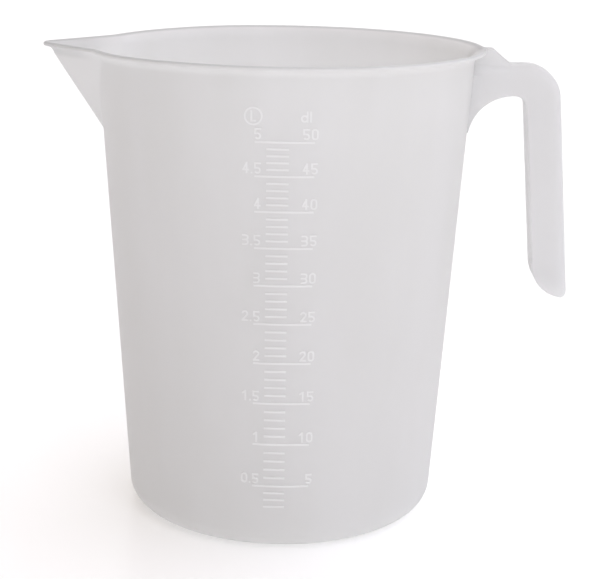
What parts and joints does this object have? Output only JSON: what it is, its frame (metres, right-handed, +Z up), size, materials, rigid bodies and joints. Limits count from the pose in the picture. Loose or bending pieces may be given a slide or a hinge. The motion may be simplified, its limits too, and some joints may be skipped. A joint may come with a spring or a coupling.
{
  "type": "measuring jug",
  "caption": "Tall conical measuring jug in translucent plastic, with a beak spout, an outward lip, an open-ended channel handle and a raised litre scale.",
  "frame": {"origin": "centre of the foot ring's underside, on the table", "axes": "+Z up along the jug's axis, +X towards the handle, -X towards the spout, -Y towards the scale"},
  "size_m": [0.2804, 0.2078, 0.25],
  "materials": {
    "body": "satin, milky translucent polypropylene",
    "scale_relief": "satin, same moulding, slightly clearer where it stands out"
  },
  "bodies": {
    "root": {"wall": "body", "heel": "body", "floor_panel": "body", "foot_ring": "body", "rim_lip": "body", "spout": "body", "spout_lip": "body", "handle_root": "body", "handle_bend": "body", "handle_grip": "body", "handle_end": "body", "scale_short_lines": "scale_relief", "scale_long_lines": "scale_relief", "litre_numerals": "scale_relief", "decilitre_numerals": "scale_relief", "unit_marks": "scale_relief"}
  },
  "joints": []
}
